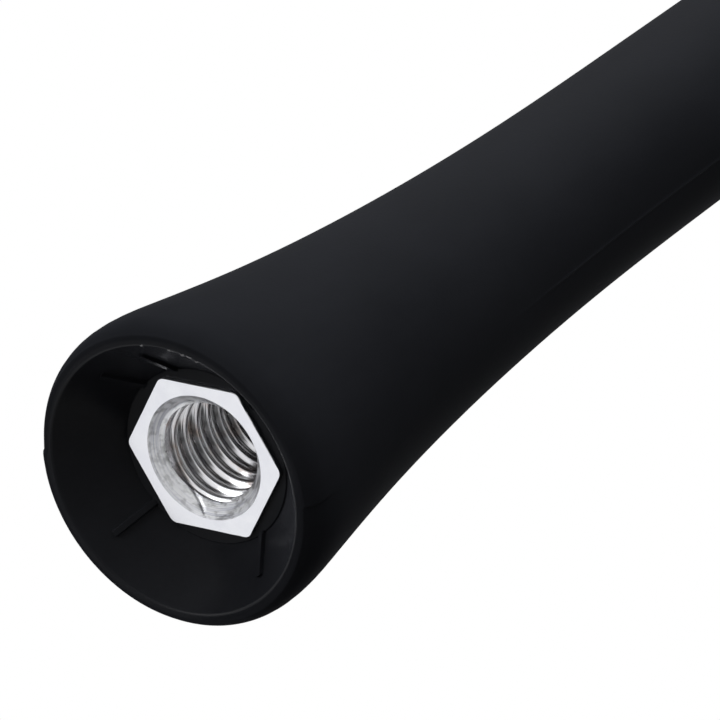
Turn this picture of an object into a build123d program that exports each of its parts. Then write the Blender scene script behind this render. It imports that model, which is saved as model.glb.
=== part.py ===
from build123d import *
from math import radians, sqrt, tan
import os

# Short rubber mast aerial for a car. Millimetres.
# Frame: +Z up the mast, origin at the middle of the mouth, in the plane that the rim stands on.
# +X passes through a corner of the hexagonal insert and through the jacket's mould seam.

# Jacket, outside
length = 230.0
rim_diameter = 16.07
rim_round_width = 0.67
rim_round_height = 1.43
flare_low_height = 4.44
flare_low_diameter = 15.41
flare_mid_height = 10.55
flare_mid_diameter = 13.52
flare_high_height = 20.54
flare_high_diameter = 11.34
flare_end_height = 34.97
flare_end_diameter = 9.81
mast_height = 46.6
mast_diameter = 9.52
tip_diameter = 7.2
tip_fillet = 2.4

# Jacket, mouth
lip_flat = 0.28
lip_fillet = 0.17
boss_wall = 0.14
boss_rise = 0.10
boss_setback = 0.22
fin_angles = (51.0, 137.0, 224.0, 252.0, 315.0)
fin_width = 0.37
fin_outer_height = 0.27
fin_inner_height = 0.32
fin_run = 1.56
fin_root = 0.05

# Threaded insert
hex_flats = 7.77
hex_corner_fillet = 0.50
hex_recess = 2.75
hex_length = 16.0
shank_diameter = 6.4
shank_length = 10.0
groove_depth = 0.5
groove_width = 1.6
groove_height = 2.2
lead_in_diameter = 6.58
lead_in_angle = 82.0
tapping_diameter = 5.0
hole_depth = 12.0
drill_point_angle = 118.0
socket_depth = 8.0

# Rod, winding and sleeve
rod_diameter = 3.5
rod_fit = 0.02
tip_cover = 6.0
wire_diameter = 0.5
winding_gap = 0.02
winding_turns = 60
winding_start = 1.5
winding_clear = 15.0
bend_swell = 0.01
tail_length = 5.0
tail_fit = 0.03
sleeve_wall = 0.25
sleeve_fit = 0.03

# Sizes that follow from those above
rim_radius = rim_diameter / 2
crest_radius = rim_radius - rim_round_width
lip_radius = crest_radius - lip_flat
hex_corner_radius = hex_flats / sqrt(3)
boss_radius = hex_corner_radius + boss_wall
boss_face = hex_recess + boss_setback
funnel_depth = boss_face + boss_rise
funnel_slope = (lip_radius - boss_radius) / funnel_depth
fin_outer_radius = boss_radius + fin_run
shank_base = hex_recess + hex_length
insert_end = shank_base + shank_length
groove_base = shank_base + groove_height
lead_in_slope = tan(radians(lead_in_angle / 2))
lead_in_depth = (lead_in_diameter - tapping_diameter) / 2 / lead_in_slope
thread_base = hex_recess + hole_depth
drill_point = thread_base + tapping_diameter / 2 / tan(radians(drill_point_angle / 2))
rod_base = insert_end - socket_depth
rod_top = length - tip_cover
rod_radius = rod_diameter / 2
wire_radius = wire_diameter / 2
winding_radius = rod_radius + winding_gap + wire_radius
winding_base = insert_end + winding_start
winding_height = rod_top - winding_clear - winding_base
winding_pitch = winding_height / winding_turns
tail_base = insert_end - tail_length
sleeve_bore = winding_radius + wire_radius + sleeve_fit
sleeve_radius = sleeve_bore + sleeve_wall


def funnel_height(radius):
    """Height of the funnel's wall at a radius."""
    return (lip_radius - radius) / funnel_slope


def insert_outside(start, mode):
    """Hexagon from a starting height, and the grooved shank above it."""
    with BuildSketch(Plane.XY.offset(start)) as hexagon:
        RegularPolygon(hex_corner_radius, 6)
        fillet(vertices(), hex_corner_fillet)
    extrude(hexagon.sketch, amount=shank_base - start, mode=mode)
    with BuildSketch(Plane.XZ) as shank:
        with BuildLine():
            Polyline(
                (0, shank_base),
                (shank_diameter / 2, shank_base),
                (shank_diameter / 2, groove_base),
                (shank_diameter / 2 - groove_depth, groove_base),
                (shank_diameter / 2 - groove_depth, groove_base + groove_width),
                (shank_diameter / 2, groove_base + groove_width),
                (shank_diameter / 2, insert_end),
                (0, insert_end),
                close=True,
            )
        make_face()
    revolve(shank.sketch, axis=Axis.Z, mode=mode)


# Threaded insert: turned from hexagonal bar, tapped from below, with a socket for the rod above
with BuildPart() as threaded_insert:
    insert_outside(hex_recess, Mode.ADD)
    with BuildSketch(Plane.XZ):
        with BuildLine():
            Polyline(
                (0, hex_recess),
                (lead_in_diameter / 2, hex_recess),
                (tapping_diameter / 2, hex_recess + lead_in_depth),
                (tapping_diameter / 2, thread_base),
                (0, drill_point),
                close=True,
            )
        make_face()
    revolve(axis=Axis.Z, mode=Mode.SUBTRACT)
    with BuildSketch(Plane.XY.offset(rod_base)):
        Circle(rod_radius + rod_fit)
    extrude(amount=socket_depth, mode=Mode.SUBTRACT)
    # Keyway beside the socket for the winding's tail
    with BuildSketch(Plane.XY.offset(tail_base - tail_fit)):
        with Locations((winding_radius, 0)):
            Circle(wire_radius + tail_fit)
        with Locations((rod_radius, 0)):
            Rectangle(2 * (winding_radius - rod_radius), wire_diameter + 2 * tail_fit)
    extrude(amount=tail_length + tail_fit, mode=Mode.SUBTRACT)

# Jacket: one rubber moulding around everything else
with BuildPart() as jacket:
    with BuildSketch(Plane.XZ):
        with BuildLine():
            EllipticalCenterArc(
                (crest_radius, rim_round_height), rim_round_width, rim_round_height, start_angle=-90, arc_size=90
            )
            Spline(
                (rim_radius, rim_round_height),
                (flare_low_diameter / 2, flare_low_height),
                (flare_mid_diameter / 2, flare_mid_height),
                (flare_high_diameter / 2, flare_high_height),
                (flare_end_diameter / 2, flare_end_height),
                (mast_diameter / 2, mast_height),
                tangents=[(0, 1), ((tip_diameter - mast_diameter) / 2, length - mast_height)],
            )
            Polyline(
                (mast_diameter / 2, mast_height),
                (tip_diameter / 2, length),
                (0, length),
                (0, boss_face),
                (boss_radius, boss_face),
                (boss_radius, funnel_depth),
                (lip_radius, 0),
                (crest_radius, 0),
            )
        make_face()
        lip_corner = vertices().sort_by_distance((lip_radius, 0))[0]
        fillet(lip_corner, lip_fillet)
        tip_corner = vertices().sort_by_distance((tip_diameter / 2, length))[0]
        fillet(tip_corner, tip_fillet)
    revolve(axis=Axis.Z)
    # Thin fins that run down the funnel to the boss
    for fin_angle in fin_angles:
        with BuildSketch(Plane.XZ.rotated((0, 0, fin_angle))):
            with BuildLine():
                Polyline(
                    (boss_radius - fin_root, funnel_height(boss_radius - fin_root)),
                    (fin_outer_radius, funnel_height(fin_outer_radius)),
                    (fin_outer_radius, funnel_height(fin_outer_radius) - fin_outer_height),
                    (boss_radius - fin_root, funnel_height(boss_radius - fin_root) - fin_inner_height),
                    close=True,
                )
            make_face()
        extrude(amount=fin_width / 2, both=True)
    insert_outside(boss_face, Mode.SUBTRACT)
    with BuildSketch(Plane.XY.offset(insert_end)):
        Circle(sleeve_radius)
    extrude(amount=rod_top - insert_end, mode=Mode.SUBTRACT)

# Core rod: straight fibreglass, glued in the insert's socket
with BuildPart() as core_rod:
    with BuildSketch(Plane.XY.offset(rod_base)):
        Circle(rod_radius)
    extrude(amount=rod_top - rod_base)

# Winding: one wire wound up the rod, with a straight tail down into the insert's keyway
with BuildPart() as winding:
    with BuildLine() as turns:
        Helix(winding_pitch, winding_height, winding_radius, center=(0, 0, winding_base))
    with BuildSketch(Plane(turns.edges()[0] @ 0, z_dir=turns.edges()[0] % 0)):
        Circle(wire_radius)
    sweep(is_frenet=True)
    with Locations((winding_radius, 0, winding_base)):
        Sphere(wire_radius + bend_swell)
    with BuildSketch(Plane.XY.offset(tail_base)):
        with Locations((winding_radius, 0)):
            Circle(wire_radius)
    extrude(amount=winding_base - tail_base)

# Shrink sleeve: thin tube over the winding
with BuildPart() as shrink_sleeve:
    with BuildSketch(Plane.XY.offset(insert_end)):
        Circle(sleeve_radius)
        Circle(sleeve_bore, mode=Mode.SUBTRACT)
    extrude(amount=rod_top - insert_end)

os.makedirs("parts", exist_ok=True)
jacket.part.label = "jacket"
export_step(jacket.part, "parts/jacket.step")
threaded_insert.part.label = "threaded_insert"
export_step(threaded_insert.part, "parts/threaded_insert.step")
core_rod.part.label = "core_rod"
export_step(core_rod.part, "parts/core_rod.step")
winding.part.label = "winding"
export_step(winding.part, "parts/winding.step")
shrink_sleeve.part.label = "shrink_sleeve"
export_step(shrink_sleeve.part, "parts/shrink_sleeve.step")
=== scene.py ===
from math import asin, atan, atan2, cos, degrees, exp, floor, hypot, pi, radians, sin, sqrt, tan

import bmesh
import bpy
import numpy as np
from mathutils import Matrix, Vector, noise


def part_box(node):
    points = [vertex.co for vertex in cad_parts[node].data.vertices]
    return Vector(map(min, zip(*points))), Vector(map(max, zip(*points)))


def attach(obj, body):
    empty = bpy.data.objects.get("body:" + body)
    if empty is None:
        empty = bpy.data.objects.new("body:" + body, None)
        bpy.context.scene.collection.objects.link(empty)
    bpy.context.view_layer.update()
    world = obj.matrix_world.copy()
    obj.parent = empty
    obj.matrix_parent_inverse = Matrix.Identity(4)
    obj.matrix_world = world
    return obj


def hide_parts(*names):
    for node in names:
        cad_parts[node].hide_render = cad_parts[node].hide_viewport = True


# Looks of a short rubber mast aerial.
# Lengths are millimetres in the part's own frame, and MM turns them to metres.
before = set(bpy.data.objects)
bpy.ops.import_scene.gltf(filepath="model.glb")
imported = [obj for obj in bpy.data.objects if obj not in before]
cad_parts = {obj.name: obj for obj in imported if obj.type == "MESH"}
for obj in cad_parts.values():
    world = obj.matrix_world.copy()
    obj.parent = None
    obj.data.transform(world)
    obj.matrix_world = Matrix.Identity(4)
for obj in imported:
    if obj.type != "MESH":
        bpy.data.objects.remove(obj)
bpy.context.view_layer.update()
MM = 0.001

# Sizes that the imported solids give
jacket_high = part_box("jacket")[1]
insert_low, insert_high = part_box("threaded_insert")
sleeve_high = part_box("shrink_sleeve")[1]
rod_low, rod_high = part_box("core_rod")
winding_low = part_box("winding")[0]
LENGTH = jacket_high.z / MM
RIM_RADIUS = jacket_high.x / MM
HEX_RECESS = insert_low.z / MM
INSERT_END = insert_high.z / MM
SLEEVE_RADIUS = sleeve_high.x / MM
ROD_TOP = sleeve_high.z / MM
ROD_BASE = rod_low.z / MM
ROD_RADIUS = rod_high.x / MM
TAIL_BASE = winding_low.z / MM

# Jacket, outside: the flare's heights and diameters, then the mast and its tip
RIM_ROUND_WIDTH = 0.67
RIM_ROUND_HEIGHT = 1.43
FLARE_HEIGHTS = (4.44, 10.55, 20.54, 34.97)
FLARE_DIAMETERS = (15.41, 13.52, 11.34, 9.81)
MAST_HEIGHT = 46.6
MAST_DIAMETER = 9.52
TIP_DIAMETER = 7.2
TIP_FILLET = 2.4

# Jacket, mouth
LIP_FLAT = 0.28
LIP_FILLET = 0.17
LIP_EDGE_RADIUS = 7.60
LIP_EDGE_HEIGHT = 0.045
BOSS_WALL = 0.14
BOSS_RISE = 0.10
BOSS_SETBACK = 0.22
BOSS_DRAFT = 0.03
BOSS_EDGE = 0.04
FIN_ANGLES = (51.0, 137.0, 224.0, 252.0, 315.0)
FIN_WIDTH = 0.37
FIN_OUTER_HEIGHT = 0.27
FIN_INNER_HEIGHT = 0.32
FIN_RUN = 1.56
FIN_ROOT = 0.05
FIN_EDGE = 0.05

# Marks that the mould left on the jacket
SEAM_ANGLES = (0.0, 180.0)
SEAM_RIDGE = 0.05
SEAM_WIDTH = 0.06
SEAM_START = (21.0, 28.0)
SEAM_TIP_RADIUS = 1.5
MOULD_SHIFT = 0.09
MOULD_STEP = 0.04
MOULD_REACH = (0.8, 2.2)
RIM_NUB_ANGLE = 358.0
RIM_NUB_RADIUS = 7.66
RIM_NUB_SIZE = 0.13
RIM_NUB_RISE = 0.06

# Ragged flash inside the lip, each mark with its angle, reach and width
FLASH_MARKS = (
    (261.0, 0.06, 0.07),
    (274.0, 0.08, 0.08),
    (280.0, 0.10, 0.10),
    (283.5, 0.05, 0.20),
    (287.0, 0.12, 0.10),
)
FLASH_ZONE = (255.0, 292.0)
FLASH_FADE = (0.02, 0.30)
FLASH_GLOSS = 0.03
FLASH_DEPTH = 0.08

# The rubber's gloss: the mouth's duller side, and the height from which gloss grows up the mast
DULL_SIDE = (0.80, 0.60, 0.0)
DULL_REACH = (4.2, 5.5)
GLOSS_START = 2.0

# Insert
HEX_FLATS = 7.77
HEX_CORNER_FILLET = 0.50
HEX_EDGE = 0.03
HEX_BURR = 0.012
POCKET_FIT = 0.01
SHANK_BASE = HEX_RECESS + 16.0
SHANK_RADIUS = 3.2
SHANK_CHAMFER = 0.15
GROOVE_HEIGHT = 2.2
GROOVE_WIDTH = 1.6
GROOVE_DEPTH = 0.5
ROD_FIT = 0.02
WIRE_RADIUS = 0.25
TAIL_RADIUS = 2.02
TAIL_FIT = 0.03
STEP = 0.02

# Thread: M6 with a pitch of 1 mm, behind a countersunk lead-in
# The flats, runs and roundings are shares of a pitch, and the first turn grows over a range of turns.
LEAD_IN_RADIUS = 3.29
LEAD_IN_ANGLE = 82.0
CREST_RADIUS = 2.5
PITCH = 1.0
CREST_START = HEX_RECESS + 0.77
CREST_FLAT = 0.20
CREST_VALLEY = 0.05
FLANK_ANGLE = 30.0
FLANK_RUN = 0.20
EDGE_ROUND = 0.05
HOLE_DEPTH = 12.0
RUN_OUT = 1.5
FIRST_TURN = (-0.40, 0.05)
FIRST_DEPTH = 0.17
SHOULDER_RADIUS = 2.62
SHOULDER_SHIFT = 0.24
SHOULDER_SIDE = 205.0
SHOULDER_ANGLE = 70.0
SCORE_START = (2.62, 141.0)
SCORE_END = (3.10, 97.7)
SCORE_WIDTH = 0.055
SCORE_DEPTH = 0.07
SCORE_ZONE = (92.0, 146.0)
DRILL_POINT_ANGLE = 118.0
CHATTER = 0.006
CHATTER_TURN = 3.0
CHATTER_RISE = 2.5
# Painted shade in the thread's roots: the colour is darkened past these heights into the hole, across these
# radii, down to this share
ROOT_SHADE_START = (3.85, 4.05)
ROOT_SHADE_REACH = (2.68, 2.82)
ROOT_SHADE_SHARE = 0.5
CREST_WEAR = (2.52, 2.62)

# How finely the skins are divided
COLUMN_STEP = 1.25
FLASH_STEP = 0.4
BUNDLE_GAP = 6.5
BUNDLE_LEAST_RADIUS = 4.5
BORE_STEP = 1.5
SCORE_STEP = 0.75
SHARP_ANGLE = radians(38.0)
LEVEL_NORMAL = 0.99999
FIN_STEPS = (0.24, 0.09)
FIN_MIDDLE = 0.06
SEAM_STEPS = (0.34, 0.16, 0.09)
FLARE_SPLIT = 12.0
LIP_EDGE_STEPS = ((0.06, 2.9), (0.015, 1.35), (0.0, 1.0), (-0.02, 0.8), (-0.10, 0.33), (-0.18, 0.07))
LIP_EDGE_CLEAR = 0.10
HEX_STEPS = (0.85, 1.7, 2.55, 4.0, 6.0, 8.0, 9.2, 13.0, 19.0, 25.0)
PITCH_STEPS = (0.0, 0.033, 0.066, 0.10, 0.15, 0.20, 0.26, 0.32, 0.38, 0.42, 0.46)

# Camera
CAMERA_PLACE = Vector((287.402, -231.537, -393.299)) * MM
CAMERA_AHEAD = Vector((-0.52079, 0.42094, 0.74269))
CAMERA_UP = Vector((-0.16988, -0.90368, 0.39306))
CAMERA_LENS = 560.0
CAMERA_SENSOR = 36.0

# Light of the room in reflections, 1 being white, and where it changes along X, Y and Z
ROOM_SIDES = (-0.4, 0.4)
ROOM_FRONT = (-0.35, 0.25)
ROOM_EDGE = (0.10, -0.02)
ROOM_ABOVE = 0.04
ROOM_LEFT = 0.97
ROOM_RIGHT = 0.70
ROOM_BEHIND = 0.15
ROOM_AMBIENT = 0.04

# Some of the room's directions, with the angles where each is full and where it is gone
DARK_SIDE = (0.15, 0.07, -0.986)
DARK_ANGLES = (27.0, 32.0)
DARK_LEVELS = (0.02, 0.17)
DARK_SPOT = 0.22
SWEEP_SIDE = (-0.52, 0.42, 0.74)
SWEEP_ANGLES = (14.0, 38.0)
SWEEP_LEVEL = 0.15
SHEEN_SIDE = (-0.30, -0.60, 0.74)
SHEEN_ANGLES = (8.0, 36.0)
SHEEN_LEVEL = 0.48
LIP_SIDE = (-0.64, -0.31, -0.71)
LIP_SIDE_ANGLES = (9.0, 18.0)
LIP_SIDE_LEVEL = 4.5

# Lamps: name, direction from the part, size in metres, level and colour
# A level of 1 lights a facing white surface to white.
SOFTBOXES = (
    ("key_softbox", (0.0, -0.94, 0.33), 3.4, 0.79, (0.90, 0.95, 1.0)),
    ("mouth_softbox", (-0.38, -0.68, -0.62), 2.0, 0.15, (0.90, 0.95, 1.0)),
    ("wall_softbox", (-0.75, 0.50, -0.43), 1.5, 0.13, (0.80, 0.90, 1.0)),
    ("viewer_softbox", (0.85, -0.50, -0.15), 2.0, 0.10, (0.95, 0.97, 1.0)),
    ("top_softbox", (0.05, -0.50, 0.86), 2.0, 0.25, (0.95, 0.97, 1.0)),
    ("back_softbox", (-0.35, 0.65, 0.68), 2.0, 0.50, (1.0, 1.0, 1.0)),
)
SOFTBOX_DISTANCE = 3.0
SOFTBOX_TARGET = Vector((0.0, 0.0, 25.0)) * MM

# Floor: the share of its white that doesn't depend on the lamps, its colour in their light,
# and half its width in metres
FLOOR_GLOW = 0.45
FLOOR_COLOUR = 0.70
FLOOR_HALF = 30.0

# Sizes that follow from those above
CREST_EDGE = RIM_RADIUS - RIM_ROUND_WIDTH
LIP_RADIUS = CREST_EDGE - LIP_FLAT
HEX_CORNER_RADIUS = HEX_FLATS / sqrt(3.0)
BOSS_RADIUS = HEX_CORNER_RADIUS + BOSS_WALL
BOSS_FACE = HEX_RECESS + BOSS_SETBACK
FUNNEL_DEPTH = BOSS_FACE + BOSS_RISE
FUNNEL_SLOPE = (LIP_RADIUS - BOSS_RADIUS) / FUNNEL_DEPTH
FIN_OUTER_RADIUS = BOSS_RADIUS + FIN_RUN
MAST_SLOPE = (TIP_DIAMETER - MAST_DIAMETER) / 2.0 / (LENGTH - MAST_HEIGHT)
GROOVE_BASE = SHANK_BASE + GROOVE_HEIGHT
THREAD_BASE = HEX_RECESS + HOLE_DEPTH
DRILL_POINT = THREAD_BASE + CREST_RADIUS / tan(radians(DRILL_POINT_ANGLE / 2.0))
HALF_GROOVE = 0.5 - CREST_FLAT / 2.0


def smooth_step(low, high, value):
    """0 below low, 1 above high, and a smooth rise between them."""
    share = min(max((value - low) / (high - low), 0.0), 1.0)
    return share * share * (3.0 - 2.0 * share)


def spread(start, end, count):
    """Evenly spaced values from start to end, both included."""
    return [start + (end - start) * i / (count - 1) for i in range(count)]


def clamped_spline(places, values, start_slope, end_slope):
    """Smooth curve through the given values, with known slopes at its two ends."""
    places = np.array(places)
    steps = np.diff(places)
    rises = np.diff(values) / steps
    count = len(places)
    system = np.eye(count)
    known = np.zeros(count)
    known[0] = start_slope
    known[-1] = end_slope
    for i in range(1, count - 1):
        system[i, i - 1:i + 2] = steps[i], 2.0 * (steps[i - 1] + steps[i]), steps[i - 1]
        known[i] = 3.0 * (steps[i] * rises[i - 1] + steps[i - 1] * rises[i])
    slopes = np.linalg.solve(system, known)

    def curve(place):
        i = int(min(max(np.searchsorted(places, place) - 1, 0), count - 2))
        t = (place - places[i]) / steps[i]
        start = values[i] * (1 + 2 * t) * (1 - t) ** 2 + slopes[i] * steps[i] * t * (1 - t) ** 2
        end = values[i + 1] * t * t * (3 - 2 * t) - slopes[i + 1] * steps[i] * t * t * (1 - t)
        return float(start + end)

    return curve


flare_radius = clamped_spline(
    (RIM_ROUND_HEIGHT,) + FLARE_HEIGHTS + (MAST_HEIGHT,),
    [RIM_RADIUS] + [d / 2.0 for d in FLARE_DIAMETERS] + [MAST_DIAMETER / 2.0],
    0.0,
    MAST_SLOPE,
)


def mast_radius(height):
    """Radius of the straight, tapered mast."""
    return MAST_DIAMETER / 2.0 + MAST_SLOPE * (height - MAST_HEIGHT)


def funnel_height(radius):
    """Height of the funnel's wall at a radius."""
    return (LIP_RADIUS - radius) / FUNNEL_SLOPE


def hex_radius(angle):
    """Radius of the hexagon's rounded outline at an angle in radians, with a corner at 0."""
    sector = pi / 3.0
    turn = abs((angle + sector / 2.0) % sector - sector / 2.0)
    centre = HEX_CORNER_RADIUS - HEX_CORNER_FILLET / sin(sector)
    tangent = atan2(HEX_CORNER_FILLET * sin(sector / 2.0), centre + HEX_CORNER_FILLET * cos(sector / 2.0))
    if turn < tangent:
        return centre * cos(turn) + sqrt(HEX_CORNER_FILLET ** 2 - (centre * sin(turn)) ** 2)
    return HEX_FLATS / 2.0 / cos(sector / 2.0 - turn)


def polar(radius, angle, height):
    """Point of the part frame in millimetres."""
    return radius * cos(angle), radius * sin(angle), height


# Jacket


def jacket_columns():
    """Columns of the jacket's skin as (kind, angle, offset).

    A bundle of lines runs beside each fin and seam, and plain ones run between the bundles.
    """
    half = FIN_WIDTH / 2.0
    fin_offsets = [half + step for step in FIN_STEPS]
    fin_offsets += [half + share * FIN_EDGE for share in (0.5, 0.0, -0.5, -1.0)]
    fin_offsets.append(FIN_MIDDLE)
    seam_offsets = [*SEAM_STEPS, MOULD_STEP]
    columns = []
    for kind, angles, offsets in (("fin", FIN_ANGLES, fin_offsets), ("seam", SEAM_ANGLES, seam_offsets)):
        for angle in angles:
            for offset in offsets:
                columns.append((kind, angle, offset))
                columns.append((kind, angle, -offset))
            columns.append((kind, angle, 0.0))
    plain = [COLUMN_STEP * i for i in range(round(360.0 / COLUMN_STEP))]
    plain = [a for a in plain if not FLASH_ZONE[0] < a < FLASH_ZONE[1]]
    plain += spread(*FLASH_ZONE, round((FLASH_ZONE[1] - FLASH_ZONE[0]) / FLASH_STEP) + 1)
    bundled = FIN_ANGLES + SEAM_ANGLES
    for angle in plain:
        if all(abs((angle - b + 180.0) % 360.0 - 180.0) > BUNDLE_GAP for b in bundled):
            columns.append(("plain", angle, 0.0))
    columns.sort(key=lambda c: (c[1] + degrees(asin(c[2] / BOSS_RADIUS))) % 360.0)
    return columns


def fin_rise(column, radius):
    """How far a fin stands up from the funnel at a column, as a share of its height."""
    kind, _, offset = column
    if kind != "fin":
        return 0.0
    half = FIN_WIDTH / 2.0
    across = 1.0 - smooth_step(half - FIN_EDGE, half + FIN_EDGE / 2, abs(offset))
    along = 1.0 - smooth_step(FIN_OUTER_RADIUS - FIN_EDGE, FIN_OUTER_RADIUS + FIN_EDGE / 2, radius)
    root = smooth_step(BOSS_RADIUS - FIN_ROOT - FIN_EDGE, BOSS_RADIUS - FIN_ROOT, radius)
    return across * along * root


def seam_shift(x, y, height, share):
    """Sets each mould half back a little at one of its seams, and lifts the thin ridge up the mast."""
    reach = max(hypot(x, y), MOULD_STEP)
    back = smooth_step(-MOULD_STEP, MOULD_STEP, y) if x > 0 else smooth_step(-MOULD_STEP, MOULD_STEP, -y)
    fade = 1.0 - smooth_step(*MOULD_REACH, height)
    ridge = SEAM_RIDGE * exp(-((y / SEAM_WIDTH) ** 2)) * smooth_step(*SEAM_START, height)
    return x + share * (ridge * x / reach - MOULD_SHIFT * back * fade * x * abs(x) / reach ** 2)


def rim_nub(angle, radius):
    """Small nub of flash where the seam meets the rim."""
    arc = RIM_NUB_RADIUS * radians((angle - RIM_NUB_ANGLE + 180.0) % 360.0 - 180.0)
    return RIM_NUB_RISE * exp(-(arc ** 2 + (radius - RIM_NUB_RADIUS) ** 2) / RIM_NUB_SIZE ** 2)


def flash_reach(angle):
    """How far ragged flash reaches inward from the lip at an angle in degrees."""
    reach = 0.0
    for mark, rise, width in FLASH_MARKS:
        arc = LIP_RADIUS * radians(angle - mark)
        reach += rise * exp(-((arc / width) ** 2))
    return reach


def outside_point(radius, height, column):
    """Point of the outside, the rim's rounding and its crest."""
    _, angle, offset = column
    turn = radians(angle) + asin(offset / max(radius, BUNDLE_LEAST_RADIUS))
    x, y, _ = polar(radius, turn, height)
    if height < RIM_ROUND_HEIGHT:
        share = smooth_step(LIP_RADIUS, CREST_EDGE, radius)
        nub = rim_nub(degrees(turn) % 360.0, radius)
    else:
        share = smooth_step(0.0, SEAM_TIP_RADIUS, radius)
        nub = 0.0
    return seam_shift(x, y, height, share), y, height + nub


def mouth_point(radius, height, column):
    """Point of the lip, the funnel with its fins, and the boss."""
    _, angle, offset = column
    turn = radians(angle) + asin(offset / max(radius, BUNDLE_LEAST_RADIUS))
    near_lip = 1.0 - smooth_step(*FLASH_FADE, height)
    inward = near_lip * flash_reach(degrees(turn) % 360.0)
    rise = fin_rise(column, radius)
    inner = (FIN_OUTER_RADIUS - radius) / FIN_RUN
    top = funnel_height(radius) - FIN_OUTER_HEIGHT - (FIN_INNER_HEIGHT - FIN_OUTER_HEIGHT) * inner
    top = min(height, top)
    return polar(radius - inward, turn, height + (top - height) * rise)


def pocket_point(radius, height, column):
    """Point of the hexagonal pocket, whatever the radius."""
    _, angle, offset = column
    turn = radians(angle) + asin(offset / BOSS_RADIUS)
    return polar(hex_radius(turn) + POCKET_FIT, turn, height)


def round_point(radius, height, column):
    """Point of a plain round ring."""
    _, angle, offset = column
    turn = radians(angle) + asin(offset / max(radius, BUNDLE_LEAST_RADIUS))
    return polar(radius, turn, height)


def outside_rings():
    """Radius and height of each ring from the tip down to the rim's crest."""
    tip_turn = atan(-MAST_SLOPE)
    centre_height = LENGTH - TIP_FILLET
    centre_radius = mast_radius(centre_height) - TIP_FILLET / cos(tip_turn)
    rings = [(r, LENGTH) for r in spread(centre_radius / 3.0, centre_radius, 3)]
    for turn in spread(pi / 2.0, tip_turn, 12)[1:]:
        rings.append((centre_radius + TIP_FILLET * cos(turn), centre_height + TIP_FILLET * sin(turn)))
    rings += [(mast_radius(z), z) for z in spread(centre_height - 4.0, MAST_HEIGHT, 16)]
    rings += [(flare_radius(z), z) for z in spread(MAST_HEIGHT, FLARE_SPLIT, 24)[1:]]
    rings += [(flare_radius(z), z) for z in spread(FLARE_SPLIT, RIM_ROUND_HEIGHT, 16)[1:]]
    for turn in spread(0.0, pi / 2.0, 18)[1:]:
        radius = CREST_EDGE + RIM_ROUND_WIDTH * cos(turn)
        if radius > LIP_EDGE_RADIUS + LIP_EDGE_CLEAR:
            rings.append((radius, RIM_ROUND_HEIGHT * (1.0 - sin(turn))))
    for away, share in LIP_EDGE_STEPS:
        rings.append((LIP_EDGE_RADIUS + away, LIP_EDGE_HEIGHT * share))
    rings.append((CREST_EDGE, 0.0))
    return rings


def mouth_rings():
    """Radius and height of each ring from the lip's inner edge to the boss's face."""
    fall = atan(1.0 / FUNNEL_SLOPE)
    tangent = LIP_FILLET * tan(fall / 2.0)
    rings = []
    for turn in spread(0.0, fall, 6):
        rings.append((LIP_RADIUS + tangent - LIP_FILLET * sin(turn), LIP_FILLET * (1.0 - cos(turn))))
    first = rings[-1][0]
    radii = spread(first, FIN_OUTER_RADIUS + 3 * FIN_EDGE, 12)[1:]
    radii += [FIN_OUTER_RADIUS + share * FIN_EDGE for share in (0.5, 0.0, -0.5, -1.0)]
    radii += spread(FIN_OUTER_RADIUS - 3 * FIN_EDGE, BOSS_RADIUS + BOSS_DRAFT, 12)
    rings += [(r, funnel_height(r)) for r in radii]
    rings.append((BOSS_RADIUS + BOSS_DRAFT / 2, BOSS_FACE + BOSS_RISE / 2))
    rings.append((BOSS_RADIUS, BOSS_FACE + BOSS_EDGE))
    rings.append((BOSS_RADIUS - BOSS_EDGE, BOSS_FACE))
    rings.append((BOSS_RADIUS - FIN_ROOT - 2 * FIN_EDGE, BOSS_FACE))
    return rings


def cavity_rings():
    """Rings of the space that holds the insert and the sleeve, as (point maker, radius, height)."""
    shank = SHANK_RADIUS + POCKET_FIT
    groove = shank - GROOVE_DEPTH
    sleeve = SLEEVE_RADIUS + POCKET_FIT
    top = ROD_TOP + POCKET_FIT
    rings = [(pocket_point, 0.0, BOSS_FACE), (pocket_point, 0.0, SHANK_BASE)]
    rings.append((round_point, shank, SHANK_BASE + STEP))
    rings.append((round_point, shank, GROOVE_BASE))
    rings.append((round_point, groove, GROOVE_BASE + STEP))
    rings.append((round_point, groove, GROOVE_BASE + GROOVE_WIDTH - STEP))
    rings.append((round_point, shank, GROOVE_BASE + GROOVE_WIDTH))
    rings.append((round_point, shank, INSERT_END))
    rings.append((round_point, sleeve, INSERT_END + STEP))
    rings += [(round_point, sleeve, z) for z in spread(INSERT_END + 20.0, top, 8)]
    rings.append((round_point, SLEEVE_RADIUS / 2.0, top))
    return rings


def skin_rings(rings):
    """Faces between rings of vertex numbers; a ring of one vertex is a pole."""
    faces = []
    for above, below in zip(rings, rings[1:]):
        count = max(len(above), len(below))
        band = []
        for i in range(count):
            j = (i + 1) % count
            if len(above) == 1:
                band.append((above[0], below[i], below[j]))
            elif len(below) == 1:
                band.append((above[i], below[0], above[j]))
            else:
                band.append((above[i], below[i], below[j], above[j]))
        faces.append(band)
    return faces


def add_to_scene(name, content):
    """New object of the scene with its content: a mesh, a lamp or a camera."""
    thing = bpy.data.objects.new(name, content)
    bpy.context.scene.collection.objects.link(thing)
    return thing


def finish_mesh(mesh, materials):
    """Gives a mesh its materials, turns all its faces outward, and shades them smooth between sharp edges."""
    for material in materials:
        mesh.materials.append(material)
    shape = bmesh.new()
    shape.from_mesh(mesh)
    bmesh.ops.recalc_face_normals(shape, faces=shape.faces)
    shape.to_mesh(mesh)
    shape.free()
    mesh.polygons.foreach_set("use_smooth", [abs(face.normal.z) < LEVEL_NORMAL for face in mesh.polygons])
    mesh.set_sharp_from_angle(angle=SHARP_ANGLE)
    mesh.update()


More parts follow.
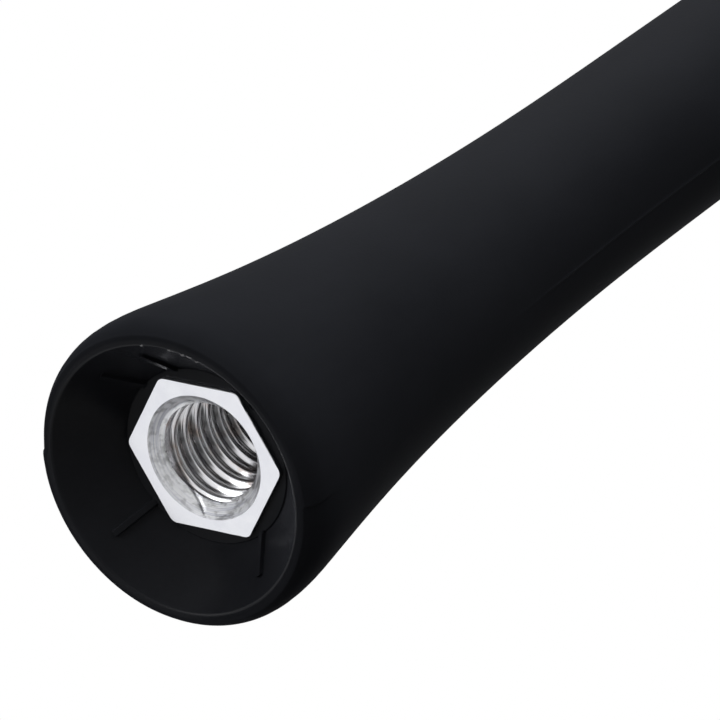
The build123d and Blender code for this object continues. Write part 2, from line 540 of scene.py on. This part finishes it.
def make_jacket(materials):
    """One moulding: outside, lip, funnel with fins, boss, and the space for the pieces inside.

    The materials are those of the outside, the mouth, the lip's edge and the flash, in that order.
    """
    columns = jacket_columns()
    points = [(0.0, 0.0, LENGTH)]
    rings = [[0]]
    kinds = []

    def add(maker, radius, height, slot):
        start = len(points)
        points.extend(maker(radius, height, column) for column in columns)
        rings.append(list(range(start, len(points))))
        kinds.append((slot, radius))

    for radius, height in outside_rings():
        add(outside_point, radius, height, 0)
    for radius, height in mouth_rings():
        add(mouth_point, radius, height, 1)
    for maker, radius, height in cavity_rings():
        add(maker, radius, height, 1)
    points.append((0.0, 0.0, ROD_TOP + POCKET_FIT))
    rings.append([len(points) - 1])
    kinds.append((1, 0.0))
    glossy = [flash_reach(angle) > FLASH_GLOSS for _, angle, _ in columns]
    faces = []
    slots = []
    for band, (slot, radius) in zip(skin_rings(rings), kinds):
        on_lip = slot == 1 and abs(radius - LIP_RADIUS) < FLASH_DEPTH
        faces += band
        slots += [(3 if glossy[i] else 2) if on_lip else slot for i in range(len(band))]
    mesh = bpy.data.meshes.new("moulded_jacket")
    mesh.from_pydata([(x * MM, y * MM, z * MM) for x, y, z in points], [], faces)
    mesh.polygons.foreach_set("material_index", slots)
    finish_mesh(mesh, materials)
    return add_to_scene("moulded_jacket", mesh)


# Insert


def hex_columns():
    """Angles of the insert's outside, close together at the hexagon's corners."""
    sector = [-s for s in reversed(HEX_STEPS)] + [0.0] + list(HEX_STEPS) + [30.0]
    return [radians(60.0 * i + a) for i in range(6) for a in sector]


def socket_radius(angle):
    """Radius of the rod's socket with the keyway for the winding's tail, which lies at angle 0."""
    plain = ROD_RADIUS + ROD_FIT
    half = WIRE_RADIUS + TAIL_FIT
    turn = abs((angle + pi) % (2.0 * pi) - pi)
    if turn < asin(half / TAIL_RADIUS):
        return TAIL_RADIUS * cos(turn) + sqrt(half ** 2 - (TAIL_RADIUS * sin(turn)) ** 2)
    if turn < asin(half / plain):
        return half / sin(turn)
    return plain


def insert_rings():
    """Rings of the insert's outside as (radius of angle, height), from the rod's socket to the hexagon."""

    def steady(radius):
        return lambda angle: radius

    def hexagon(inset):
        return lambda angle: hex_radius(angle) - inset

    def worn_hexagon(angle):
        x, y, _ = polar(HEX_CORNER_RADIUS * 2.0, angle, 0.0)
        return hex_radius(angle) - HEX_EDGE + HEX_BURR * noise.noise((x, y, 0.0))

    key_floor = TAIL_BASE - TAIL_FIT
    socket = ROD_RADIUS + ROD_FIT
    groove = SHANK_RADIUS - GROOVE_DEPTH
    groove_top = GROOVE_BASE + GROOVE_WIDTH
    sides = spread(SHANK_BASE - HEX_EDGE, HEX_RECESS + 2 * HEX_EDGE, 8)
    return [
        (steady(socket / 2.0), ROD_BASE),
        (steady(socket), ROD_BASE),
        (steady(socket), key_floor - STEP),
        (socket_radius, key_floor),
        (socket_radius, INSERT_END),
        (steady(SHANK_RADIUS - SHANK_CHAMFER), INSERT_END),
        (steady(SHANK_RADIUS), INSERT_END - SHANK_CHAMFER),
        (steady(SHANK_RADIUS), groove_top),
        (steady(groove), groove_top - STEP),
        (steady(groove), GROOVE_BASE + STEP),
        (steady(SHANK_RADIUS), GROOVE_BASE),
        (steady(SHANK_RADIUS), SHANK_BASE + STEP),
        (hexagon(HEX_EDGE), SHANK_BASE),
        *((hexagon(0.0), z) for z in sides),
        (hexagon(0.0), HEX_RECESS + HEX_EDGE),
        (worn_hexagon, HEX_RECESS),
    ]


def thread_depth(share):
    """Depth of the groove at a share of a pitch from a crest's middle: straight flanks and a round root."""
    away = abs((share + 0.5) % 1.0 - 0.5)
    depths = []
    for step in (-1.0, -0.5, 0.0, 0.5, 1.0):
        run = min(max(away + EDGE_ROUND * step - CREST_FLAT / 2.0, 0.0), HALF_GROOVE)
        bend = max(run - FLANK_RUN, 0.0) ** 2 / (2.0 * (HALF_GROOVE - FLANK_RUN))
        depths.append(PITCH * (run - bend) / tan(radians(FLANK_ANGLE)))
    valley = CREST_VALLEY * (1.0 - smooth_step(0.0, CREST_FLAT / 2.0, away))
    return sum(depths) / len(depths) + valley


def score_depth(angle, radius):
    """Depth of the straight score that the tap left across the lead-in."""
    in_zone = SCORE_ZONE[0] < degrees(angle) < SCORE_ZONE[1]
    if not in_zone or not CREST_RADIUS < radius < LEAD_IN_RADIUS:
        return 0.0
    start, end = (Vector(polar(r, radians(a), 0.0)) for r, a in (SCORE_START, SCORE_END))
    here = Vector(polar(radius, angle, 0.0))
    share = (here - start).dot(end - start) / (end - start).length_squared
    away = (here - start.lerp(end, min(max(share, 0.0), 1.0))).length
    return SCORE_DEPTH * exp(-((away / SCORE_WIDTH) ** 2))


def helix_height(row, angle):
    """Height at a number of pitches from the first crest, along the helix."""
    return CREST_START + PITCH * (row + angle / (2.0 * pi))


def cone_radius(row, angle):
    """Radius of the lead-in's cone with its score, and of the flatter shoulder inside it."""
    rise = helix_height(row, angle) - HEX_RECESS
    slope = tan(radians(LEAD_IN_ANGLE / 2.0))
    edge = SHOULDER_RADIUS + SHOULDER_SHIFT * cos(angle - radians(SHOULDER_SIDE))
    past = max(rise - (LEAD_IN_RADIUS - edge) / slope, 0.0)
    plain = LEAD_IN_RADIUS - rise * slope - past * (tan(radians(SHOULDER_ANGLE)) - slope)
    return plain + score_depth(angle, plain)


def thread_radius(row, angle):
    """Radius of the thread: its first turn is less deep, and its last runs out into the plain bore."""
    height = helix_height(row, angle)
    fade = 1.0 - smooth_step(HOLE_DEPTH - RUN_OUT - PITCH, HOLE_DEPTH - RUN_OUT, height - HEX_RECESS)
    begun = smooth_step(*FIRST_TURN, floor(row) + angle / (2.0 * pi))
    depth = thread_depth(row)
    depth = min(depth, FIRST_DEPTH + max(depth - FIRST_DEPTH, 0.0) * begun)
    rough = CHATTER * noise.noise(polar(CHATTER_TURN, angle, CHATTER_RISE * height))
    return CREST_RADIUS + fade * (depth + rough)


def bore_column(rows, angle):
    """Points up the hole's wall at one angle, each with whether it is on the cone.

    A point lies on each edge between cone and thread.
    """
    excess = [cone_radius(row, angle) - thread_radius(row, angle) for row in rows]
    places = list(rows)
    on_cone = [e > 0.0 for e in excess]
    for i in range(len(rows) - 1):
        if (excess[i] > 0.0) != (excess[i + 1] > 0.0):
            share = excess[i] / (excess[i] - excess[i + 1])
            nearest = i if share < 0.5 else i + 1
            places[nearest] = rows[i] + share * (rows[i + 1] - rows[i])
            on_cone[nearest] = True
    radii = [max(cone_radius(row, angle), thread_radius(row, angle)) for row in places]
    return [(polar(r, angle, helix_height(row, angle)), c) for row, r, c in zip(places, radii, on_cone)]


def bore_shares():
    """Places of the rows within one pitch, close together at the crest's and the root's edges."""
    return [*PITCH_STEPS, 0.5] + [1.0 - s for s in reversed(PITCH_STEPS[1:])]


def bore_angles():
    """Angles of the columns, closer together where the score crosses the lead-in."""
    near, far = SCORE_ZONE
    angles = spread(near, far, round((far - near) / SCORE_STEP) + 1)
    angles += spread(far, near + 360.0, round((near + 360.0 - far) / BORE_STEP) + 1)[1:-1]
    return sorted(radians(a % 360.0) for a in angles)


def add_bore(shape, slot):
    """Adds the hole's wall as a grid that follows the thread's helix, cut level at both its ends.

    The thread gets the material of the given number, and the cone gets the next one.
    """
    shares = bore_shares()
    first = int((HEX_RECESS - CREST_START) / PITCH) - 3
    last = int((THREAD_BASE - CREST_START) / PITCH) + 2
    rows = [turn + share for turn in range(first, last) for share in shares]
    grid = []
    coned = set()
    for angle in bore_angles():
        column = []
        for point, on_cone in bore_column(rows, angle):
            column.append(shape.verts.new(point))
            if on_cone:
                coned.add(column[-1])
        grid.append(column)
    made = []
    for j, column in enumerate(grid):
        beside = grid[(j + 1) % len(grid)]
        skip = len(shares) if j + 1 == len(grid) else 0
        for i in range(len(rows) - 1 - skip):
            made.append(shape.faces.new((column[i], beside[i + skip], beside[i + 1 + skip], column[i + 1])))
    for face in made:
        face.material_index = slot + all(v in coned for v in face.verts)
    for level, low, high in ((HEX_RECESS, True, False), (THREAD_BASE, False, True)):
        bmesh.ops.bisect_plane(
            shape,
            geom=shape.verts[:] + shape.edges[:] + shape.faces[:],
            dist=1e-6,
            plane_co=(0.0, 0.0, level),
            plane_no=(0.0, 0.0, 1.0),
            clear_inner=low,
            clear_outer=high,
        )


def level_rim(shape, height):
    """Open edges of a shape that lie at a height."""
    return [e for e in shape.edges if e.is_boundary and all(abs(v.co.z - height) < 1e-4 for v in e.verts)]


def make_insert(materials):
    """Turned insert: socket, shank and hexagon outside, lead-in, thread and drilled end inside.

    The materials are those of the outside, the thread and the lead-in, in that order.
    """
    shape = bmesh.new()
    add_bore(shape, 1)
    tip = shape.verts.new((0.0, 0.0, DRILL_POINT))
    for edge in level_rim(shape, THREAD_BASE):
        shape.faces.new((*edge.verts, tip)).material_index = 1
    angles = hex_columns()
    lines = [[shape.verts.new((0.0, 0.0, ROD_BASE))]]
    for radius, height in insert_rings():
        lines.append([shape.verts.new(polar(radius(a), a, height)) for a in angles])
    for band in skin_rings(lines):
        for corners in band:
            shape.faces.new(corners)
    bmesh.ops.triangle_fill(shape, edges=level_rim(shape, HEX_RECESS), use_beauty=True)
    bmesh.ops.delete(shape, geom=[v for v in shape.verts if not v.link_faces], context="VERTS")
    bmesh.ops.scale(shape, vec=(MM, MM, MM), verts=shape.verts)
    mesh = bpy.data.meshes.new("turned_insert")
    shape.to_mesh(mesh)
    shape.free()
    finish_mesh(mesh, materials)
    return add_to_scene("turned_insert", mesh)


# Materials


class Paint:
    """Node tree of one material around its shader."""

    def __init__(self, name, world=False):
        self.material = bpy.data.worlds.new(name) if world else bpy.data.materials.new(name)
        self.material.use_nodes = True
        self.tree = self.material.node_tree
        self.shader = self.tree.nodes["Background" if world else "Principled BSDF"]
        self.place = self.tree.nodes.new("ShaderNodeTexCoord").outputs["Generated" if world else "Object"]
        if world:
            bpy.context.scene.world = self.material

    def node(self, kind, links=(), **settings):
        """New node with its settings, and its inputs linked or set by name or number."""
        made = self.tree.nodes.new(kind)
        for key, value in settings.items():
            setattr(made, key, value)
        for socket, value in dict(links).items():
            self.feed(made.inputs[socket], value)
        return made

    def feed(self, socket, value):
        """Links another node's output to an input, or sets the input's own value."""
        if isinstance(value, bpy.types.NodeSocket):
            self.tree.links.new(value, socket)
        else:
            socket.default_value = value

    def math(self, operation, first, second=0.0):
        """Result of a sum with one or two numbers."""
        return self.node("ShaderNodeMath", {0: first, 1: second}, operation=operation).outputs[0]

    def vector(self, operation, links, output="Vector"):
        """Result of a sum with vectors."""
        return self.node("ShaderNodeVectorMath", links, operation=operation).outputs[output]

    def stretch(self, scale):
        """Object place in units of a pattern's own size along each axis, in millimetres."""
        factors = tuple(1.0 / (MM * s) for s in scale)
        return self.vector("MULTIPLY", {0: self.place, 1: factors})

    def cloud(self, scale, detail=3.0, roughness=0.55):
        """Noise of a size in millimetres along each axis, about 0.5 on average."""
        sockets = {"Vector": self.stretch(scale), "Scale": 1.0, "Detail": detail, "Roughness": roughness}
        return self.node("ShaderNodeTexNoise", sockets).outputs["Fac"]

    def helix_cloud(self, length, width, pitch, detail=2.0):
        """Noise in streaks that follow a helix up Z, with a streak's length and width in millimetres."""
        axes = self.node("ShaderNodeSeparateXYZ", {0: self.place}).outputs
        turn = self.math("ARCTAN2", axes["Y"], axes["X"])
        rise = self.math("MULTIPLY", axes["Z"], 2.0 * pi / (pitch * MM))
        phase = self.math("SUBTRACT", rise, turn)
        reach = pitch / (2.0 * pi * width)
        waves = [self.math("MULTIPLY", self.math(kind, phase), reach) for kind in ("COSINE", "SINE")]
        along = [self.math("MULTIPLY", axes[axis], 1.0 / (length * MM)) for axis in ("X", "Y")]
        place = self.node("ShaderNodeCombineXYZ", {0: along[0], 1: along[1], 2: waves[0]}).outputs[0]
        sockets = {"Vector": place, "W": waves[1], "Scale": 1.0, "Detail": detail}
        return self.node("ShaderNodeTexNoise", sockets, noise_dimensions="4D").outputs["Fac"]

    def reach(self):
        """Distance from the Z axis in millimetres."""
        flat = self.vector("MULTIPLY", {0: self.place, 1: (1.0 / MM, 1.0 / MM, 0.0)})
        return self.vector("LENGTH", {0: flat}, "Value")

    def height(self):
        """Height in millimetres."""
        return self.along((0.0, 0.0, 1.0))

    def along(self, direction):
        """Distance from the origin along a direction in millimetres."""
        scaled = tuple(d / MM for d in direction)
        return self.vector("DOT_PRODUCT", {0: self.place, 1: scaled}, "Value")

    def between(self, value, low, high, start, end):
        """Value moved from the range low to high into the range start to end."""
        sockets = {"Value": value, "From Min": low, "From Max": high, "To Min": start, "To Max": end}
        return self.node("ShaderNodeMapRange", sockets).outputs["Result"]

    def choose(self, share, first, second):
        """First value where share is 0, second where it is 1."""
        sockets = {"Factor": share, "A": first, "B": second}
        return self.node("ShaderNodeMix", sockets, data_type="FLOAT").outputs["Result"]

    def toward(self, direction, angles):
        """1 within the first angle of a direction, 0 past the second, and a steady change between."""
        near, far = (cos(radians(a)) for a in angles)
        facing = self.vector("DOT_PRODUCT", {0: self.place, 1: Vector(direction).normalized()}, "Value")
        return self.between(facing, far, near, 0.0, 1.0)

    def tint(self, value, low, high):
        """Colour between two colours by a value, the first colour at 0 and the second at 1."""
        made = self.node("ShaderNodeValToRGB", {"Fac": value})
        made.color_ramp.elements[0].color = (*low, 1.0)
        made.color_ramp.elements[1].color = (*high, 1.0)
        return made.outputs["Color"]

    def dim(self, colour, share):
        """Colour times a share."""
        return self.vector("SCALE", {0: colour, "Scale": share})

    def bump(self, height, depth, strength):
        """Normal from a height pattern whose full rise is depth millimetres."""
        sockets = {"Height": height, "Distance": depth * MM, "Strength": strength}
        return self.node("ShaderNodeBump", sockets).outputs["Normal"]

    def set(self, **sockets):
        """Links or sets the shader's own sockets; an underscore in a name stands for a space."""
        for name, value in sockets.items():
            self.feed(self.shader.inputs[name.replace("_", " ")], value)


def rubber_material(name, roughness, low_gloss, high_gloss, dull_share=1.0):
    """Black moulded rubber with a fine grain and cloudy patches; its gloss grows from the rim to the mast.

    A share below 1 takes gloss off the mouth's dull side.
    """
    paint = Paint(name)
    grain = paint.cloud((0.16, 0.16, 0.16), detail=2.0)
    patches = paint.cloud((5.0, 5.0, 9.0), detail=4.0)
    shade = paint.between(patches, 0.3, 0.7, 0.0, 1.0)
    gloss = paint.between(paint.height(), GLOSS_START, MAST_HEIGHT, low_gloss, high_gloss)
    kept = paint.between(paint.along(DULL_SIDE), *DULL_REACH, 1.0, dull_share)
    paint.set(
        Base_Color=paint.tint(shade, (0.0168, 0.0173, 0.0200), (0.0210, 0.0215, 0.0248)),
        Roughness=paint.between(patches, 0.3, 0.7, roughness - 0.05, roughness + 0.05),
        Normal=paint.bump(grain, 0.012, 0.5),
        Specular_IOR_Level=paint.math("MULTIPLY", gloss, kept),
    )
    return paint.material


def plate_material():
    """Bright plating with faint marks of turning."""
    paint = Paint("bright_plate")
    marks = paint.cloud((0.25, 0.25, 0.06), detail=3.0)
    stains = paint.cloud((1.2, 1.2, 1.2), detail=4.0)
    shade = paint.between(stains, 0.35, 0.65, 0.0, 1.0)
    paint.set(
        Base_Color=paint.tint(shade, (0.775, 0.785, 0.835), (0.845, 0.855, 0.895)),
        Roughness=paint.between(stains, 0.3, 0.7, 0.16, 0.24),
        Normal=paint.bump(marks, 0.004, 0.4),
        Metallic=1.0,
    )
    return paint.material


def thread_material():
    """Plating where the tap cut: streaks along the thread, warm stains, painted shade in the roots deeper in
    the hole, and worn crests.
    """
    paint = Paint("cut_plate")
    streaks = paint.helix_cloud(2.4, 0.05, PITCH)
    stains = paint.cloud((1.3, 1.3, 0.6), detail=3.0)
    stained = paint.between(stains, 0.52, 0.74, 0.0, 1.0)
    colour = paint.tint(stained, (0.88, 0.88, 0.91), (0.70, 0.58, 0.52))
    colour = paint.dim(colour, paint.between(streaks, 0.32, 0.62, 0.62, 1.0))
    reach = paint.reach()
    # Painted shade: the roots, out past a radius and deeper in the hole, get a darker colour
    deeper = paint.between(paint.height(), *ROOT_SHADE_START, 0.0, 1.0)
    root_shade = paint.choose(deeper, 1.0, paint.between(reach, *ROOT_SHADE_REACH, 1.0, ROOT_SHADE_SHARE))
    paint.set(
        Base_Color=paint.dim(colour, root_shade),
        Roughness=paint.between(reach, *CREST_WEAR, 0.36, 0.12),
        Normal=paint.bump(streaks, 0.018, 0.6),
        Metallic=1.0,
    )
    return paint.material


def countersink_material():
    """Plating over the turned lead-in: close rings and scratches that scatter the light."""
    paint = Paint("turned_plate")
    rings = paint.cloud((2.5, 2.5, 0.06), detail=2.0, roughness=0.5)
    smears = paint.cloud((0.5, 0.5, 0.25), detail=3.0)
    shade = paint.between(rings, 0.32, 0.54, 0.0, 1.0)
    colour = paint.tint(shade, (0.69, 0.70, 0.77), (0.97, 0.98, 1.0))
    paint.set(
        Base_Color=paint.dim(colour, paint.between(smears, 0.36, 0.52, 0.62, 1.0)),
        Roughness=paint.between(smears, 0.3, 0.7, 0.30, 0.56),
        Normal=paint.bump(rings, 0.020, 0.6),
        Metallic=1.0,
    )
    return paint.material


def fibreglass_material():
    """Drawn glass rod: pale resin with long streaks of fibre."""
    paint = Paint("drawn_fibreglass")
    streaks = paint.cloud((0.12, 0.12, 14.0), detail=3.0)
    shade = paint.between(streaks, 0.3, 0.7, 0.0, 1.0)
    paint.set(
        Base_Color=paint.tint(shade, (0.70, 0.66, 0.50), (0.82, 0.80, 0.68)),
        Roughness=paint.between(streaks, 0.3, 0.7, 0.40, 0.52),
        Normal=paint.bump(streaks, 0.010, 0.5),
    )
    return paint.material


def copper_material():
    """Enamelled copper wire with darker patches in the enamel."""
    paint = Paint("enamelled_copper")
    patches = paint.cloud((0.8, 0.8, 0.5), detail=4.0)
    shade = paint.between(patches, 0.3, 0.7, 0.0, 1.0)
    paint.set(
        Base_Color=paint.tint(shade, (0.42, 0.15, 0.06), (0.76, 0.36, 0.18)),
        Roughness=paint.between(patches, 0.3, 0.7, 0.22, 0.34),
        Normal=paint.bump(patches, 0.004, 0.4),
        Metallic=1.0,
        Coat_Weight=0.6,
        Coat_Roughness=0.15,
    )
    return paint.material


def sleeve_material():
    """Thin black sleeve, shrunk on, with faint waves from the turns under it."""
    paint = Paint("shrunk_sleeve")
    waves = paint.cloud((6.0, 6.0, 1.4), detail=2.0)
    shade = paint.between(waves, 0.3, 0.7, 0.0, 1.0)
    paint.set(
        Base_Color=paint.tint(shade, (0.022, 0.022, 0.023), (0.034, 0.034, 0.036)),
        Roughness=paint.between(waves, 0.3, 0.7, 0.42, 0.55),
        Normal=paint.bump(waves, 0.03, 0.5),
    )
    return paint.material


# Stage


def floor_material():
    """Pale floor that only the view from above meets: from below it is clear, and it stops no light."""
    material = bpy.data.materials.new("pale_floor")
    material.use_nodes = True
    tree = material.node_tree
    tree.nodes.clear()
    output = tree.nodes.new("ShaderNodeOutputMaterial")
    mix = tree.nodes.new("ShaderNodeMixShader")
    clear = tree.nodes.new("ShaderNodeBsdfTransparent")
    pale = tree.nodes.new("ShaderNodeAddShader")
    lit = tree.nodes.new("ShaderNodeBsdfDiffuse")
    lit.inputs["Color"].default_value = (FLOOR_COLOUR, FLOOR_COLOUR, FLOOR_COLOUR, 1.0)
    glow = tree.nodes.new("ShaderNodeEmission")
    glow.inputs["Strength"].default_value = FLOOR_GLOW
    tree.links.new(lit.outputs[0], pale.inputs[0])
    tree.links.new(glow.outputs[0], pale.inputs[1])
    path = tree.nodes.new("ShaderNodeLightPath")
    side = tree.nodes.new("ShaderNodeNewGeometry")
    front = tree.nodes.new("ShaderNodeMath")
    front.operation = "SUBTRACT"
    front.inputs[0].default_value = 1.0
    seen = tree.nodes.new("ShaderNodeMath")
    seen.operation = "MULTIPLY"
    tree.links.new(side.outputs["Backfacing"], front.inputs[1])
    tree.links.new(front.outputs[0], seen.inputs[0])
    tree.links.new(path.outputs["Is Camera Ray"], seen.inputs[1])
    tree.links.new(seen.outputs[0], mix.inputs["Fac"])
    tree.links.new(clear.outputs[0], mix.inputs[1])
    tree.links.new(pale.outputs[0], mix.inputs[2])
    tree.links.new(mix.outputs[0], output.inputs["Surface"])
    return material


def make_floor():
    """Large floor in the plane that the rim stands on."""
    signs = ((-1, -1), (1, -1), (1, 1), (-1, 1))
    mesh = bpy.data.meshes.new("floor")
    mesh.from_pydata([(FLOOR_HALF * x, FLOOR_HALF * y, 0.0) for x, y in signs], [], [(0, 1, 2, 3)])
    mesh.materials.append(floor_material())
    stage_floor = add_to_scene("floor", mesh)


def make_world():
    """White sweep for the camera; reflections see a bright room on the mouth's side, dim by the viewer."""
    room = Paint("studio", world=True)
    path = room.node("ShaderNodeLightPath")
    axes = room.node("ShaderNodeSeparateXYZ", {0: room.place}).outputs
    below = room.between(axes["X"], *ROOM_SIDES, ROOM_LEFT, ROOM_RIGHT)
    behind = room.between(axes["Y"], *ROOM_FRONT, 0.0, ROOM_BEHIND)
    height = room.math("ADD", axes["Z"], behind)
    level = room.choose(room.between(height, *ROOM_EDGE, 0.0, 1.0), ROOM_ABOVE, below)
    sockets = {"Vector": room.place, "Scale": 1.0 / DARK_SPOT, "Detail": 2.0}
    spots = room.node("ShaderNodeTexNoise", sockets).outputs["Fac"]
    dark = room.between(spots, 0.35, 0.65, *DARK_LEVELS)
    level = room.choose(room.toward(DARK_SIDE, DARK_ANGLES), level, dark)
    level = room.choose(room.toward(SWEEP_SIDE, SWEEP_ANGLES), level, SWEEP_LEVEL)
    level = room.choose(room.toward(SHEEN_SIDE, SHEEN_ANGLES), level, SHEEN_LEVEL)
    level = room.choose(room.toward(LIP_SIDE, LIP_SIDE_ANGLES), level, LIP_SIDE_LEVEL)
    lit = room.choose(path.outputs["Is Diffuse Ray"], level, ROOM_AMBIENT)
    seen = room.choose(path.outputs["Is Camera Ray"], lit, 1.0)
    room.set(Strength=seen, Color=(1.0, 1.0, 1.0, 1.0))


def add_softbox(name, direction, size, level, colour):
    """Square area light, unseen in reflections, that faces the part."""
    lamp = bpy.data.lights.new(name, "AREA")
    lamp.shape = "SQUARE"
    lamp.size = size
    lamp.color = colour
    lamp.energy = level * pi * SOFTBOX_DISTANCE ** 2 * pi
    holder = add_to_scene(name, lamp)
    holder.location = SOFTBOX_TARGET + Vector(direction).normalized() * SOFTBOX_DISTANCE
    holder.rotation_mode = "QUATERNION"
    holder.rotation_quaternion = Vector(direction).to_track_quat("Z", "Y")
    holder.visible_glossy = False


def make_camera():
    """Camera at the photograph's place, below the mouth and looking up the mast."""
    lens = bpy.data.cameras.new("camera")
    lens.lens = CAMERA_LENS
    lens.sensor_width = CAMERA_SENSOR
    camera = add_to_scene("camera", lens)
    back = -CAMERA_AHEAD.normalized()
    side = CAMERA_UP.cross(back).normalized()
    rise = back.cross(side)
    turn = Matrix((side, rise, back)).transposed()
    camera.matrix_world = Matrix.Translation(CAMERA_PLACE) @ turn.to_4x4()
    bpy.context.scene.camera = camera


def dress_node(name, material):
    """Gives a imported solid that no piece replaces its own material."""
    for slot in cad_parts[name].material_slots:
        slot.material = material


jacket = make_jacket([
    rubber_material("satin_rubber", 0.48, 0.010, 0.055),
    rubber_material("moulded_mouth", 0.16, 0.035, 0.035, 0.15),
    rubber_material("lip_edge", 0.24, 0.08, 0.08),
    rubber_material("glossy_flash", 0.16, 1.0, 1.0),
])
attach(jacket, "root")
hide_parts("jacket")

insert = make_insert([plate_material(), thread_material(), countersink_material()])
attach(insert, "root")
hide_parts("threaded_insert")

dress_node("core_rod", fibreglass_material())
dress_node("winding", copper_material())
dress_node("shrink_sleeve", sleeve_material())

make_floor()
make_world()
for softbox in SOFTBOXES:
    add_softbox(*softbox)
make_camera()

bpy.context.scene.view_settings.view_transform = "Standard"
